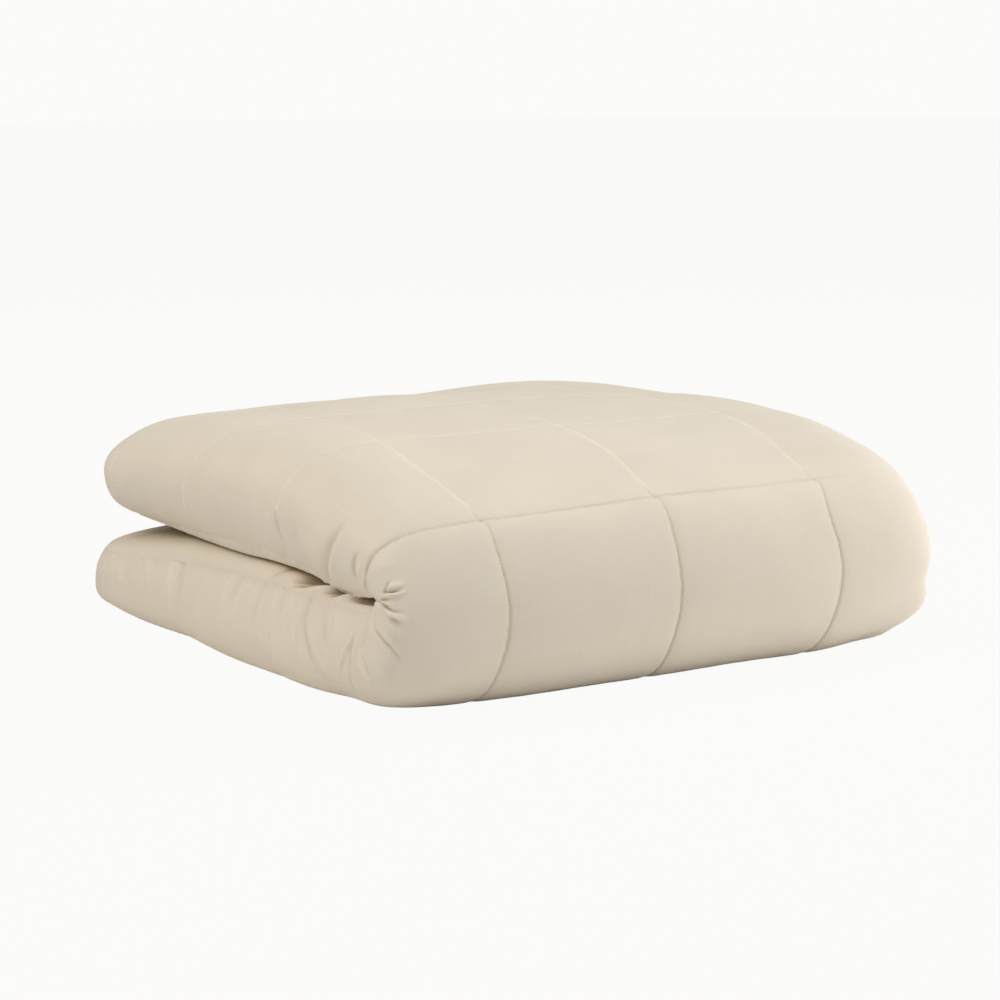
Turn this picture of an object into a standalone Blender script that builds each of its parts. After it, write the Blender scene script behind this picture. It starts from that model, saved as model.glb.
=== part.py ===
"""A weighted blanket, box-quilted and folded once, lying on a flat surface.

The two covers are cut to the same size and sewn together all round. Lines of quilting cross them
in square boxes. The cloth is described flat, in boxes: `across` runs from the left edge to the
right one, and `along` runs from the lower back edge, round the fold at the front (where it is 0),
to the upper back edge. fold() carries each point of a cover from there to its folded place.

Metres, +Z up, +X to the right along the folded front edge, +Y to the open back edge.
"""

from collections import namedtuple
from math import cos, exp, hypot, pi, sin, sqrt

import bmesh
import bpy
from mathutils import Vector

# The quilting
BOX = 0.150  # from one line of stitching to the next
BOXES_ACROSS = 4
BOXES_ALONG = 9
PUFF = 0.0055  # how far the filling lifts the middle of a box above the stitching
SHOULDER = 0.45  # the share of that lift reached just beside the stitching
CROWN_POWER = 0.35  # the lower, the flatter the top of a box
GROOVE_REACH = 0.0075  # half the width of the strip that the stitching draws in
EDGE_CALM = 0.30 * BOX  # the boxes die out this near the sewn edge

# The origin lies under the middle of the folded blanket
LEFT_SEAM_TO_MIDDLE = 0.1414  # from the first line across to the origin, along +X
FRONT_SEAM_TO_MIDDLE = 0.2517  # from the line along the top of the fold to the origin, along +Y

# Steps of the mesh in one box, as shares of it
MIDDLE_STEPS = (0.0, 0.05, 0.17, 0.38, 0.62, 0.83, 0.95)
EDGE_STEPS = (0.0, 0.06, 0.13, 0.22, 0.33, 0.45, 0.57, 0.70, 0.83, 0.95)
FOLD_STEPS = (0.0, 0.05, 0.16, 0.28, 0.40, 0.52, 0.64, 0.76, 0.87, 0.95)

CLOTH_COLOUR = (0.76, 0.69, 0.58, 1.0)
CLOTH_ROUGHNESS = 0.92

# Side view of the outer cover: along the cloth, then back from the front seam and up, in boxes
Line = namedtuple("Line", "along back up")
OUTER_LINE = (
    Line(-4.30, 3.720, 0.000),
    Line(-3.50, 2.930, 0.000),
    Line(-1.50, 0.980, 0.000),
    Line(-0.75, 0.220, 0.000),
    Line(-0.60, 0.090, 0.035),
    Line(-0.50, 0.000, 0.095),
    Line(-0.25, -0.165, 0.290),
    Line(0.00, -0.222, 0.530),
    Line(0.25, -0.160, 0.770),
    Line(0.40, -0.075, 0.900),
    Line(0.50, 0.000, 0.957),
    Line(0.75, 0.235, 1.045),
    Line(1.00, 0.470, 1.115),
    Line(1.50, 0.945, 1.185),
    Line(2.00, 1.440, 1.195),
    Line(2.50, 1.940, 1.178),
    Line(3.00, 2.430, 1.142),
    Line(3.50, 2.920, 1.095),
    Line(4.30, 3.700, 1.000),
)

# Side view of the inner cover, which turns back on itself inside the fold
INNER_LINE = (
    Line(-4.30, 3.700, 0.405),
    Line(-3.50, 2.920, 0.458),
    Line(-2.50, 1.960, 0.525),
    Line(-1.50, 1.020, 0.570),
    Line(-0.50, 0.110, 0.573),
    Line(-0.20, 0.030, 0.577),
    Line(0.00, 0.008, 0.588),
    Line(0.20, 0.030, 0.599),
    Line(0.50, 0.110, 0.604),
    Line(1.50, 1.020, 0.603),
    Line(2.50, 1.960, 0.568),
    Line(3.50, 2.920, 0.530),
    Line(4.30, 3.700, 0.510),
)

# How the last box rounds off to the sewn edge: the share of the box used up, then how far out
# that is, in boxes, and how far up, as a share of the leaf's thickness
Rounding = namedtuple("Rounding", "share out up")
SOFT_ROUNDING = (
    Rounding(0.00, 0.000, 1.00),
    Rounding(0.20, 0.205, 0.988),
    Rounding(0.38, 0.390, 0.93),
    Rounding(0.54, 0.525, 0.80),
    Rounding(0.68, 0.625, 0.62),
    Rounding(0.80, 0.655, 0.43),
    Rounding(0.91, 0.635, 0.24),
    Rounding(1.00, 0.600, 0.00),
)
FULL_ROUNDING = (
    Rounding(0.00, 0.000, 1.00),
    Rounding(0.20, 0.205, 1.005),
    Rounding(0.38, 0.390, 0.98),
    Rounding(0.54, 0.535, 0.88),
    Rounding(0.68, 0.635, 0.69),
    Rounding(0.80, 0.668, 0.46),
    Rounding(0.91, 0.645, 0.25),
    Rounding(1.00, 0.600, 0.00),
)
RESTING_ROUNDING = (
    Rounding(0.00, 0.000, 1.00),
    Rounding(0.25, 0.255, 1.00),
    Rounding(0.46, 0.480, 1.00),
    Rounding(0.59, 0.600, 0.94),
    Rounding(0.71, 0.658, 0.77),
    Rounding(0.83, 0.672, 0.50),
    Rounding(0.93, 0.648, 0.23),
    Rounding(1.00, 0.600, 0.00),
)
# The same for the inner cover, where up is a share of the sewn edge's height
INNER_ROUNDING = (
    Rounding(0.00, 0.000, 0.00),
    Rounding(0.50, 0.330, 0.00),
    Rounding(0.80, 0.500, 0.06),
    Rounding(0.93, 0.575, 0.42),
    Rounding(1.00, 0.600, 1.00),
)
INNER_RESTING_ROUNDING = (
    Rounding(0.00, 0.000, 0.00),
    Rounding(0.50, 0.330, 0.05),
    Rounding(0.74, 0.470, 0.25),
    Rounding(0.89, 0.560, 0.62),
    Rounding(1.00, 0.600, 1.00),
)

# Along the cloth: how far each side reaches against the rounding, and how high the sewn edge
# sits in the leaf, measured from the inner cover as a share of its thickness
Edge = namedtuple("Edge", "along left right seam_height")
EDGES = (
    Edge(-4.50, 1.25, 1.07, 0.33),
    Edge(-3.50, 1.25, 1.07, 0.31),
    Edge(-2.50, 1.14, 1.06, 0.24),
    Edge(-1.50, 1.00, 1.05, 0.18),
    Edge(-0.50, 0.84, 0.99, 0.08),
    Edge(0.50, 0.86, 0.96, 0.06),
    Edge(1.50, 0.96, 0.98, 0.09),
    Edge(2.50, 1.07, 1.00, 0.09),
    Edge(3.50, 1.17, 1.00, 0.10),
    Edge(4.50, 1.17, 1.00, 0.10),
)

HALF_LENGTH = BOXES_ALONG / 2
FLAT_LENGTH = HALF_LENGTH - 1
MIDDLE_ACROSS = BOXES_ACROSS / 2
# Across the cloth the left side's rounding turns into the right side's fuller one, and along it
# the upper leaf's turns into that of the lower leaf, which is pressed flat underneath
FULL_SIDE_FROM, FULL_SIDE_TO = 1.5, 3.0
RESTING_FROM, RESTING_TO = -0.25, -1.60
RESTING_FROM_RIGHT, RESTING_TO_RIGHT = 0.15, -0.55


def clamp(value, low=0.0, high=1.0):
    return min(max(value, low), high)


def ease(start, end, value):
    """0 at start, 1 at end, and smooth between them."""
    share = clamp((value - start) / (end - start))
    return share * share * (3 - 2 * share)


def read_table(rows, place):
    """The other columns of a table at a place in its first one, on a smooth curve through the rows."""
    place = clamp(place, rows[0][0], rows[-1][0])
    last = len(rows) - 1
    index = max(i for i in range(last) if rows[i][0] <= place)
    here, after = rows[index], rows[index + 1]
    step = after[0] - here[0]
    share = (place - here[0]) / step

    def slope(i, column):
        if i in (0, last):
            near, far = (0, 1) if i == 0 else (last - 1, last)
            return (rows[far][column] - rows[near][column]) / (rows[far][0] - rows[near][0])
        before, beyond = rows[i][0] - rows[i - 1][0], rows[i + 1][0] - rows[i][0]
        rise_in = (rows[i][column] - rows[i - 1][column]) / before
        rise_out = (rows[i + 1][column] - rows[i][column]) / beyond
        if rise_in == 0 or rise_out == 0:
            return 0.0
        return (rise_in * beyond + rise_out * before) / (before + beyond)

    def value(column):
        lift = share * share * (3 - 2 * share)
        start, end = slope(index, column) * step, slope(index + 1, column) * step
        bend = share * (1 - share) * ((1 - share) * start - share * end)
        return here[column] * (1 - lift) + after[column] * lift + bend

    return [value(column) for column in range(1, len(here))]


def mix(first, second, share):
    return [a * (1 - share) + b * share for a, b in zip(first, second)]


def right_share(across):
    return ease(FULL_SIDE_FROM, FULL_SIDE_TO, across)


def resting_share(across, along):
    left = ease(RESTING_FROM, RESTING_TO, along)
    right = ease(RESTING_FROM_RIGHT, RESTING_TO_RIGHT, along)
    return left + (right - left) * right_share(across)


def outer_rounding(used, across, along):
    soft = read_table(SOFT_ROUNDING, used)
    full = read_table(FULL_ROUNDING, used)
    resting = read_table(RESTING_ROUNDING, used)
    return mix(mix(soft, full, right_share(across)), resting, resting_share(across, along))


def inner_rounding(used, across, along):
    upper = read_table(INNER_ROUNDING, used)
    resting = read_table(INNER_RESTING_ROUNDING, used)
    return mix(upper, resting, resting_share(across, along))


def fold(across, along, inner):
    """Where a point of a cover lies, from its place on the flat cloth, both in boxes."""
    side = clamp(1 - min(across, BOXES_ACROSS - across))
    end = clamp(1 - (HALF_LENGTH - abs(along)))
    # A square corner of cloth is carried to a round one
    side_part = side * sqrt(1 - end * end / 2)
    end_part = end * sqrt(1 - side * side / 2)
    used = hypot(side_part, end_part)
    out, up = (inner_rounding if inner else outer_rounding)(used, across, along)
    if used > 0:
        side_part, end_part = side_part / used, end_part / used

    left, right, seam_height = read_table(EDGES, along)
    reach = -left if across < MIDDLE_ACROSS else right
    x = clamp(across, 1, BOXES_ACROSS - 1) - 1 + side_part * out * reach
    place = min(abs(along), FLAT_LENGTH) + end_part * out
    place = place if along > 0 else -place
    thickness = up * seam_height if inner else seam_height + up * (1 - seam_height)
    inner_yz = read_table(INNER_LINE, place)
    outer_yz = read_table(OUTER_LINE, place)
    y, z = mix(inner_yz, outer_yz, thickness)
    return Vector((x * BOX - LEFT_SEAM_TO_MIDDLE, y * BOX - FRONT_SEAM_TO_MIDDLE, z * BOX))


def quilt_height(across, along):
    """How far the filling lifts the outer cover above the lines of stitching."""
    from_side = min(across, BOXES_ACROSS - across)
    from_end = HALF_LENGTH - abs(along)
    # The sewn edges count as no line of stitching: only the ones inside them draw the cover in
    line_across = max(abs(across - round(across)), 1 - from_side)
    line_along = max(abs(from_end - round(from_end)), 1 - from_end)
    nearest = min(line_across, line_along) * BOX
    crown = (sin(pi * across) * cos(pi * along)) ** 2
    lift = PUFF * (SHOULDER + (1 - SHOULDER) * crown**CROWN_POWER)
    lift *= 1 - exp(-((nearest / GROOVE_REACH) ** 2))
    return lift * ease(0, EDGE_CALM / BOX, min(from_side, from_end))


def stations(boxes, fold_box=None):
    """The mesh's steps from one edge of the cloth to the other, closer where it bends."""
    places = []
    for box in range(boxes):
        if box == 0:
            shares = EDGE_STEPS
        elif box == boxes - 1:
            shares = [0.0] + [1 - share for share in reversed(EDGE_STEPS[1:])]
        elif box == fold_box:
            shares = FOLD_STEPS
        else:
            shares = MIDDLE_STEPS
        places += [box + share for share in shares]
    return places + [boxes]


def add_cover(mesh, across_steps, along_steps, inner):
    """One cover as a grid of cloth, folded and quilted."""
    columns, rows = len(across_steps) - 1, len(along_steps) - 1
    made = bmesh.ops.create_grid(mesh, x_segments=columns, y_segments=rows, size=1)["verts"]
    cloth_place = {}
    for vert in made:
        across = across_steps[round((vert.co.x + 1) / 2 * columns)]
        along = along_steps[round((vert.co.y + 1) / 2 * rows)] - HALF_LENGTH
        cloth_place[vert] = (across, along)
        vert.co = fold(across, along, inner)
    faces = list({face for vert in made for face in vert.link_faces})
    if inner:
        bmesh.ops.reverse_faces(mesh, faces=faces)
        return
    mesh.normal_update()
    for vert, (across, along) in cloth_place.items():
        vert.co += vert.normal * quilt_height(across, along)
        vert.co.z = max(vert.co.z, 0.0)


def cloth_material():
    material = bpy.data.materials.new("cream_cotton")
    material.use_nodes = True
    shader = material.node_tree.nodes["Principled BSDF"]
    shader.inputs["Base Color"].default_value = CLOTH_COLOUR
    shader.inputs["Roughness"].default_value = CLOTH_ROUGHNESS
    shader.inputs["Metallic"].default_value = 0.0
    return material


def build_blanket(collection):
    across_steps = stations(BOXES_ACROSS)
    along_steps = stations(BOXES_ALONG, fold_box=BOXES_ALONG // 2)
    mesh = bmesh.new()
    for inner in (False, True):
        add_cover(mesh, across_steps, along_steps, inner)
    # Sewing the two covers together round the edge
    bmesh.ops.remove_doubles(mesh, verts=mesh.verts, dist=1e-6)
    data = bpy.data.meshes.new("blanket")
    mesh.to_mesh(data)
    mesh.free()
    data.shade_smooth()
    data.materials.append(cloth_material())
    collection.objects.link(bpy.data.objects.new("blanket", data))


def main():
    for old in list(bpy.data.objects):
        bpy.data.objects.remove(old)
    collection = bpy.data.collections.new("weighted_blanket")
    bpy.context.scene.collection.children.link(collection)
    build_blanket(collection)


main()
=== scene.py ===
import math

import bpy
import numpy as np
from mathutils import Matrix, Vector


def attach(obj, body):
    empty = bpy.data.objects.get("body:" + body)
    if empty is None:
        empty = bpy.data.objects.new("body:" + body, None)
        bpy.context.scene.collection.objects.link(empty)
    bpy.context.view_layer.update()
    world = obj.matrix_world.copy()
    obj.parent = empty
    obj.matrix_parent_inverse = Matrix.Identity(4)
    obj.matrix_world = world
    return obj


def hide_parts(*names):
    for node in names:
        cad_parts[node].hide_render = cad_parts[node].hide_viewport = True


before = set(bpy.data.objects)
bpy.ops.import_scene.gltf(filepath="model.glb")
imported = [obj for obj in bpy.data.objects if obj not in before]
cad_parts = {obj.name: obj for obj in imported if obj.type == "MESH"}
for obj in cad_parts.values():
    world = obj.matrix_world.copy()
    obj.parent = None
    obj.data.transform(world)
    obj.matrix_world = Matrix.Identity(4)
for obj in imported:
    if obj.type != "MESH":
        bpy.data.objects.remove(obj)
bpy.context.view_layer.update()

print("frame loaded")

# A place on the flat cloth is given in quilted boxes: across from the left edge (0) to the right
# one (4), and along from the lower back edge (-4.5), round the fold (0), to the upper back (4.5).
blanketForm = {
    "box": 0.150,  # metres from one line of quilting to the next
    "boxesAcross": 4,
    "boxesAlong": 9,
    "leftLineToMiddle": 0.1414,  # from the first line across to the origin
    "frontLineToMiddle": 0.2517,  # from the line along the top of the fold to the origin
    "fullSide": (1.5, 3),  # across: the left side's rounding turns into the fuller right one
    "leftOnly": (1, 3),  # across: what only the left side does fades out
    "restingLeft": (-0.2, -1.6),  # along: the leaf turns into one pressed flat underneath
    "restingRight": (0.15, -0.55),
    # Shares of the last box, from its inner line (0) to the sewn edge (1)
    "outerTuck": (0.78, 0.22),  # where a cover starts to tuck in, and over how much
    "innerTuck": (0.3, 0.7),
    "tuckPower": 1.6,
    "tuckDrop": 1.3,  # how far the outer cover sinks, for each box of tuck
    "tuckDropMost": 0.1,  # a deeper tuck sinks no further
    "sagFrom": 0.5,
    "hollow": (0.25, 0.75),  # where the inner cover starts to hollow, and over how much
    "hollowPower": 0.7,
}
# Side view of the outer cover: along, then back and up
outerLine = (
    (-4.3, 3.72, 0), (-3.5, 2.93, 0), (-1.5, 0.98, 0), (-0.75, 0.22, 0), (-0.61, 0.086, 0.014),
    (-0.5, -0.008, 0.07), (-0.25, -0.165, 0.282), (0, -0.222, 0.53), (0.25, -0.16, 0.77),
    (0.4, -0.075, 0.9), (0.5, 0, 0.957), (0.75, 0.235, 1.045), (1, 0.47, 1.115), (1.5, 0.945, 1.185),
    (2, 1.44, 1.195), (2.5, 1.94, 1.178), (3, 2.43, 1.142), (3.5, 2.92, 1.095), (4.3, 3.7, 1),
)
# The same for the inner cover, which turns back on itself inside the fold
innerLine = (
    (-4.3, 3.7, 0.385), (-3.5, 2.92, 0.446), (-2.5, 1.96, 0.525), (-1.5, 1.02, 0.57), (-0.5, 0.11, 0.573),
    (-0.2, 0.03, 0.577), (0, 0.008, 0.588), (0.2, 0.03, 0.599), (0.5, 0.11, 0.604), (1.5, 1.02, 0.592),
    (2.5, 1.96, 0.549), (3.5, 2.92, 0.51), (4.3, 3.7, 0.486),
)
# The hollow in the lower leaf's top behind its left seam, under the upper leaf's lip: along, boxes
leftHollow = (
    (-4.5, 0.025), (-3.6, 0.022), (-3.1, 0), (-2.6, -0.022), (-1.7, -0.022), (-1.3, 0), (-0.95, 0.01),
    (-0.62, 0.014), (-0.4, 0.04), (-0.15, 0.022), (0, 0),
)
# How the last box rounds off to the sewn edge: share of the box, boxes out, share of the height
softRounding = (
    (0, 0, 1), (0.2, 0.205, 0.988), (0.38, 0.39, 0.93), (0.54, 0.525, 0.8), (0.68, 0.625, 0.62),
    (0.8, 0.655, 0.43), (0.91, 0.642, 0.23), (1, 0.6, 0),
)
fullRounding = (
    (0, 0, 1), (0.2, 0.205, 1.005), (0.38, 0.39, 0.98), (0.54, 0.535, 0.88), (0.68, 0.635, 0.69),
    (0.8, 0.668, 0.46), (0.91, 0.645, 0.25), (1, 0.6, 0),
)
restingRounding = (
    (0, 0, 1), (0.25, 0.255, 1), (0.46, 0.485, 1), (0.59, 0.61, 0.952), (0.71, 0.664, 0.795),
    (0.83, 0.674, 0.52), (0.93, 0.648, 0.24), (1, 0.6, 0),
)
innerRounding = (
    (0, 0, 0), (0.5, 0.33, 0), (0.8, 0.5, 0.06), (0.93, 0.575, 0.42), (1, 0.6, 1),
)
innerRestingRounding = (
    (0, 0, 0), (0.5, 0.33, 0.04), (0.72, 0.475, 0.18), (0.88, 0.575, 0.55), (1, 0.6, 1),
)
# Along: how far the left and right side reach, how high the sewn edge sits in the leaf, and on the
# left how far it is tucked in and how far the leaf's side sags
sewnEdges = (
    (-4.5, 1.27, 1.07, 0.27, -0.04, 0), (-3.5, 1.258, 1.07, 0.25, -0.04, 0),
    (-2.5, 1.13, 1.06, 0.19, -0.01, 0), (-1.5, 1, 1.05, 0.165, 0, 0),
    (-1.05, 0.93, 1.02, 0.145, -0.005, 0.008), (-0.75, 0.88, 1, 0.115, -0.01, 0.008),
    (-0.45, 0.86, 0.985, 0.055, -0.035, 0.004), (-0.2, 0.85, 0.975, 0.015, -0.06, -0.024),
    (0, 0.85, 0.97, 0.045, -0.06, -0.022), (0.2, 0.845, 0.965, 0.05, -0.045, 0.02),
    (0.45, 0.86, 0.96, 0.06, -0.03, 0.014), (0.7, 0.88, 0.965, 0.07, 0.01, 0.048),
    (0.95, 0.905, 0.97, 0.08, 0.04, 0.088), (1.1, 0.92, 0.97, 0.09, 0.03, 0.074),
    (1.25, 0.935, 0.975, 0.11, 0.02, 0.052), (1.6, 0.965, 0.98, 0.145, 0, 0.042),
    (2, 1.02, 0.99, 0.16, 0, 0.046), (2.5, 1.08, 1, 0.125, 0.025, 0.034), (3, 1.15, 1, 0.075, 0.055, 0.008),
    (3.5, 1.22, 1, 0.025, 0.085, -0.015), (4.5, 1.22, 1, 0.02, 0.1, -0.02),
)

box = blanketForm["box"]
boxesAcross = blanketForm["boxesAcross"]
halfLength = blanketForm["boxesAlong"] / 2


def ease(start, end, value):
    share = np.clip((value - start) / (end - start), 0.0, 1.0)
    return share * share * (3 - 2 * share)


def mixed(first, second, share):
    return [a * (1 - share) + b * share for a, b in zip(first, second)]


def bell(distance, reach):
    return np.exp(-(distance / reach) ** 2)


# Smooth mounds added up: across, along, the height, and the reach each way
def mounds(rows, across, along):
    total = 0
    for acrossAt, alongAt, height, acrossReach, alongReach in rows:
        total = total + height * np.exp(
            -((across - acrossAt) / acrossReach) ** 2 - ((along - alongAt) / alongReach) ** 2)
    return total


# The other columns of a table at a place in its first one, on a smooth curve through the rows
def readTable(rows, place):
    rows = np.array(rows, float)
    place = np.clip(place, rows[0, 0], rows[-1, 0])
    gap = np.diff(rows[:, 0])
    rise = np.diff(rows[:, 1:], axis=0) / gap[:, None]
    slope = np.empty_like(rows[:, 1:])
    slope[0], slope[-1] = rise[0], rise[-1]
    before, after = gap[:-1, None], gap[1:, None]
    slope[1:-1] = (rise[:-1] * after + rise[1:] * before) / (before + after)
    slope[1:-1][(rise[:-1] == 0) | (rise[1:] == 0)] = 0
    row = np.clip(np.searchsorted(rows[:, 0], place, side="right") - 1, 0, len(rows) - 2)
    step = gap[row]
    share = (place - rows[row, 0]) / step
    lift = share * share * (3 - 2 * share)
    columns = []
    for column in range(slope.shape[1]):
        start, end = slope[row, column] * step, slope[row + 1, column] * step
        bend = share * (1 - share) * ((1 - share) * start - share * end)
        here, there = rows[row, column + 1], rows[row + 1, column + 1]
        columns.append(here * (1 - lift) + there * lift + bend)
    return columns


# Boxes in from the nearer side and from the nearer end of the cloth
def fromEdges(across, along):
    return np.minimum(across, boxesAcross - across), halfLength - np.abs(along)


# Where the cloth lies once folded, in metres
def foldCloth(across, along, inner):
    side, end = (np.clip(1 - edge, 0, 1) for edge in fromEdges(across, along))
    # A square corner of cloth is carried to a round one
    sidePart = side * np.sqrt(1 - end**2 / 2)
    endPart = end * np.sqrt(1 - side**2 / 2)
    used = np.hypot(sidePart, endPart)
    right = ease(*blanketForm["fullSide"], across)
    resting = ease(*blanketForm["restingLeft"], along)
    resting = resting + (ease(*blanketForm["restingRight"], along) - resting) * right
    if inner:
        rounding = mixed(readTable(innerRounding, used), readTable(innerRestingRounding, used), resting)
    else:
        sides = mixed(readTable(softRounding, used), readTable(fullRounding, used), right)
        rounding = mixed(sides, readTable(restingRounding, used), resting)
    out, up = rounding
    sidePart = sidePart / np.maximum(used, 1e-9)
    endPart = endPart / np.maximum(used, 1e-9)

    leftReach, rightReach, seamHeight, tuck, sag = readTable(sewnEdges, along)
    reach = np.where(across < boxesAcross / 2, -leftReach, rightReach)
    leftShare = 1 - ease(*blanketForm["leftOnly"], across)
    tuck = tuck * leftShare
    start, over = blanketForm["innerTuck" if inner else "outerTuck"]
    under = np.clip((used - start) / over, 0, 1)
    out = out - tuck * under ** blanketForm["tuckPower"]
    if not inner:
        sinking = blanketForm["tuckDrop"] * np.clip(tuck, 0, blanketForm["tuckDropMost"])
        up = up - sinking * np.sin(math.pi * under)
    x = np.clip(across, 1, boxesAcross - 1) - 1 + sidePart * out * reach
    place = np.minimum(np.abs(along), halfLength - 1) + endPart * out
    place = np.where(along > 0, place, -place)
    thickness = up * seamHeight if inner else seamHeight + up * (1 - seamHeight)
    y, z = mixed(readTable(innerLine, place), readTable(outerLine, place), thickness)
    z = z - sag * leftShare * ease(blanketForm["sagFrom"], 1.0, used)
    if inner:
        hollow = np.where(along < 0, readTable(leftHollow, along)[0] * leftShare, 0)
        start, over = blanketForm["hollow"]
        dip = np.sin(math.pi * np.clip((used - start) / over, 0, 1))
        z = z - hollow * dip ** blanketForm["hollowPower"]
    return np.stack((
        x * box - blanketForm["leftLineToMiddle"],
        y * box - blanketForm["frontLineToMiddle"],
        z * box,
    ), axis=-1)


# Smooth unevenness from -1 to 1 over a distance in metres, the same in every run
def waves(distance, wavelength, seed):
    chance = np.random.default_rng(seed)
    total = 0
    for _ in range(5):
        pace = 2 * math.pi / wavelength * chance.uniform(0.6, 1.5)
        total = total + np.sin(distance * pace + chance.uniform(0, 2 * math.pi))
    return total / 2.6


# The same over a surface
def clouds(first, second, size, seed):
    chance = np.random.default_rng(seed)
    total = 0
    for _ in range(9):
        turn, pace = chance.uniform(0, math.pi), 2 * math.pi / size * chance.uniform(0.5, 1.4)
        run = first * math.cos(turn) + second * math.sin(turn)
        total = total + np.sin(run * pace + chance.uniform(0, 2 * math.pi))
    return total / 4.0


# Where the quilting runs off the straight, in boxes. The lines across slip along, and the lines
# along slip across: across, along, how far, its reach each way
acrossLineSlips = (
    (2, -0.5, -0.1, 6, 0.45), (0.2, -0.5, -0.135, 0.5, 0.45), (0.05, -2.5, -0.11, 0.35, 0.45),
    (0, 0.5, 0.1, 0.13, 0.35), (0.75, 0.5, -0.035, 0.3, 0.4), (1.25, 0.5, -0.03, 0.35, 0.3),
    (0.1, 2.5, 0.07, 0.25, 0.45),
)
alongLineSlips = (
    (1, 1.05, -0.085, 0.5, 0.38), (1, 1.6, -0.045, 0.5, 0.5), (1, 0, 0.025, 0.5, 0.25),
    (3, 0.28, -0.035, 0.5, 0.16), (3, 0.8, -0.025, 0.5, 0.25),
)
# The lines along the cloth step aside where the first one across the top meets them
lineJog = {"at": 0.50, "size": 0.034, "over": 0.025, "reach": 0.35, "fromSide": (0.5, 0.9)}


def slipped(across, along):
    past = along - lineJog["at"]
    jog = -lineJog["size"] * ease(-lineJog["over"], lineJog["over"], past) * bell(past, lineJog["reach"])
    inside = ease(*lineJog["fromSide"], across) * ease(*lineJog["fromSide"], boxesAcross - across)
    acrossShift = mounds(alongLineSlips, across, along) + jog * inside
    alongShift = mounds(acrossLineSlips, across, along)
    return across + acrossShift, along + alongShift * np.clip(2 * (halfLength - np.abs(along)), 0, 1)


# Lengths here are in millimetres
quilting = {
    "shoulder": 0.5,  # how far the cloth falls towards a line of stitching
    "shoulderReach": 4.5,
    "crown": 1.9,  # how far it rises in the middle of a box
    "crownPower": 0.6,
    "stitchDepth": 0.8,
    "stitchWidth": 0.9,
    "innerDepth": 1.6,
    "pucker": 0.2,  # little waves that cross the line of stitching
    "puckerLength": 7.5,
    "puckerReach": 5,
    "fade": (0.06, 0.2),  # boxes from the sewn edge: the stitching dies out
    "fadeRight": (0.78, 0.92),
    "backFade": 0.6,  # how much the lines across are lost at the back of the top
    "backFadeAlong": (1.8, 2.4),
    "backFadeAcross": (0.7, 1.3),
    "calmEdge": 0.3,  # boxes from the sewn edge over which the crown grows
    "innerCalmEdge": (0.1, 0.5),
    "unevenness": 0.8,
    "unevenSize": 1.1,  # boxes
    "unevenSeed": 7,
    "lineOffset": 0.37,  # metres of ripple between one line and the next
    "seed": 20,
}
# How deep the two ways of quilting press into the cloth: along, share of their depth
alongLinesPress = (
    (-4.5, 0.1), (-3, 0.3), (-1.2, 0.55), (0.49, 0.72), (0.56, 0.4), (1.5, 0.35), (2, 0.14), (4.5, 0.1),
)
acrossLinesPress = (
    (-4.5, 0.1), (-3.5, 0.12), (-2.9, 0.6), (-1, 0.5), (0.5, 0.9), (1, 0.6), (1.5, 0.5), (2.2, 0.45),
    (2.8, 0.35), (3.3, 0.12), (4.5, 0.1),
)
sewnEdge = {
    "tuck": 0.7,  # how far the seam is drawn in
    "tuckWidth": 2.6,
    "outerPucker": 0.4,
    "innerPucker": 1.25,
    "puckerLength": 8,
    "puckerReach": 6,
    "puckerPower": 1.6,
    "tuckRipple": 0.25,  # share of the tuck that comes and goes with the puckers
    "cornerReach": 12,  # either side of a corner the side's puckers turn into the end's
    "seed": 31,
    "shown": (
        (-4.5, 0.1), (-3.4, 0.15), (-2.6, 0.5), (-1, 0.5), (-0.7, 0.2), (0.2, 0.2), (0.8, 1), (2.6, 1),
        (3.4, 0.3), (4.5, 0.1),
    ),
}
# The cloth gathers in fine ridges along the left seam: along, and the height of the ridges
gathers = {
    "height": (
        (-4.5, 0.2), (-3.4, 0.7), (-2, 0.9), (-1.4, 0.3), (-0.5, 0.2), (0.1, 0.2), (0.6, 0.4), (1.5, 0.45),
        (3, 0.35), (4.5, 0.1),
    ),
    "spacing": 24,
    "thinness": 0.3,
    "trough": 0.3,  # how far the cloth sinks between the ridges
    "fromSeam": 6,
    "reach": 27,
    "unevenReach": 0.4,
    "unevenLength": 50,
    "seed": 41,
}
# Broad lifts of the filled boxes, in mm, set out as the slips are
swells = (
    (3, 3.6, 4.4, 0.5, 0.45), (3.2, 2.7, -3.6, 0.35, 0.45), (3.25, 1.9, -1.2, 0.4, 0.5),
    (3.32, 1.15, 2.2, 0.35, 0.55), (0.67, 3.56, -1.4, 0.4, 0.4), (1.15, 3.15, -1.2, 0.3, 0.5),
    (1.8, 3.05, 4.6, 0.65, 0.55), (3.48, 0.66, 4.2, 0.35, 0.22), (3.6, -0.21, -2.4, 0.3, 0.085),
    (3.61, -0.31, 3.4, 0.22, 0.07), (3.5, -0.55, -6, 0.28, 0.15), (0.22, 0.38, 3, 0.2, 0.16),
    (0.3, -0.42, 2, 0.25, 0.18), (0.75, -0.56, -2.4, 0.35, 0.12), (0.29, -3.32, 2.5, 0.1, 0.45),
    (0.43, -0.74, 3.4, 0.16, 0.16),
)

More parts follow.
